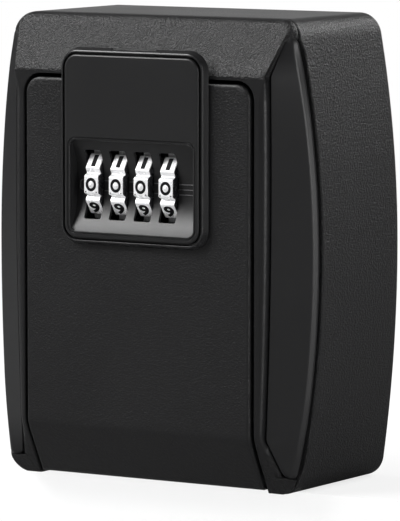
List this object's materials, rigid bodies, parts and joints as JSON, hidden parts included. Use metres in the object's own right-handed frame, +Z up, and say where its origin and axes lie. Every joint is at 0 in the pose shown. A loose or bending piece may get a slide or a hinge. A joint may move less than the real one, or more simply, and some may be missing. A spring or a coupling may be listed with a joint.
{
  "type": "combination key cabinet",
  "caption": "Wall-mounted key lock box with bulging sides, a drop-down front door, number wheels in a raised dial housing, a sliding bolt and key hooks.",
  "frame": {"origin": "centre of the flat back face that goes against the wall", "axes": "+Z up along the height, +Y into the wall, -Y the front with the door and number wheels, +X to the right of a person facing the front"},
  "size_m": [0.1166, 0.0638, 0.145],
  "materials": {
    "black_metal": "fine leather-grain black powder coat",
    "door_metal": "fine leather-grain black powder coat",
    "trim_plastic": "smooth satin black",
    "dial_plastic": "satin black with a fine rim",
    "fascia_plastic": "smooth matte black",
    "wheel_chrome": "bright satin chrome with black filled digits",
    "cam_steel": "black oxide",
    "steel": "brushed, zinc plated",
    "screw_steel": "plain steel",
    "case_metal": "dark grey cast metal",
    "lever_plastic": "moulded, dull red"
  },
  "bodies": {
    "cabinet": {"rear_housing": "black_metal", "front_frame": "black_metal", "side_trim_left": "trim_plastic", "side_trim_right": "trim_plastic", "strike_plate": "steel", "strike_screw_1": "screw_steel", "strike_screw_2": "screw_steel", "hinge_pin": "steel", "key_hook_1": "steel", "key_hook_2": "steel", "frame_screw_1": "screw_steel", "frame_screw_2": "screw_steel", "frame_screw_3": "screw_steel", "frame_screw_4": "screw_steel"},
    "door": {"door_panel": "door_metal", "dial_housing": "dial_plastic", "dial_fascia": "fascia_plastic", "lock_case": "case_metal", "lock_cover": "case_metal", "detent_spring": "steel", "wheel_shaft": "steel", "cover_screw_1": "screw_steel", "cover_screw_2": "screw_steel", "cover_screw_3": "screw_steel", "cover_screw_4": "screw_steel", "case_screw_1": "screw_steel", "case_screw_2": "screw_steel", "case_screw_3": "screw_steel", "case_screw_4": "screw_steel", "wheel_spacer_1": "steel", "wheel_spacer_2": "steel", "wheel_spacer_3": "steel"},
    "wheel_1": {"number_wheel_1": "wheel_chrome", "wheel_sleeve_1": "cam_steel"},
    "wheel_2": {"number_wheel_2": "wheel_chrome", "wheel_sleeve_2": "cam_steel"},
    "wheel_3": {"number_wheel_3": "wheel_chrome", "wheel_sleeve_3": "cam_steel"},
    "wheel_4": {"number_wheel_4": "wheel_chrome", "wheel_sleeve_4": "cam_steel"},
    "bolt": {"bolt_slide": "steel", "release_tab": "lever_plastic"},
    "change_lever": {"reset_lever": "lever_plastic"}
  },
  "joints": [
    {"name": "door_hinge", "type": "hinge", "parent": "cabinet", "child": "door", "pos_m": [0, -0.0495, -0.0685], "axis": [1, 0, 0], "range_deg": [0, 100]},
    {"name": "wheel_1_spin", "type": "hinge", "parent": "door", "child": "wheel_1", "pos_m": [-0.01569, -0.0497, 0.0204], "axis": [1, 0, 0], "continuous": true},
    {"name": "wheel_2_spin", "type": "hinge", "parent": "door", "child": "wheel_2", "pos_m": [-0.00663, -0.0497, 0.0204], "axis": [1, 0, 0], "continuous": true},
    {"name": "wheel_3_spin", "type": "hinge", "parent": "door", "child": "wheel_3", "pos_m": [0.00243, -0.0497, 0.0204], "axis": [1, 0, 0], "continuous": true},
    {"name": "wheel_4_spin", "type": "hinge", "parent": "door", "child": "wheel_4", "pos_m": [0.01149, -0.0497, 0.0204], "axis": [1, 0, 0], "continuous": true},
    {"name": "bolt_throw", "type": "slide", "parent": "door", "child": "bolt", "axis": [0, 0, 1], "range_m": [0, 0.004]},
    {"name": "change_lever_slide", "type": "slide", "parent": "door", "child": "change_lever", "axis": [1, 0, 0], "range_m": [0, 0.006]}
  ]
}
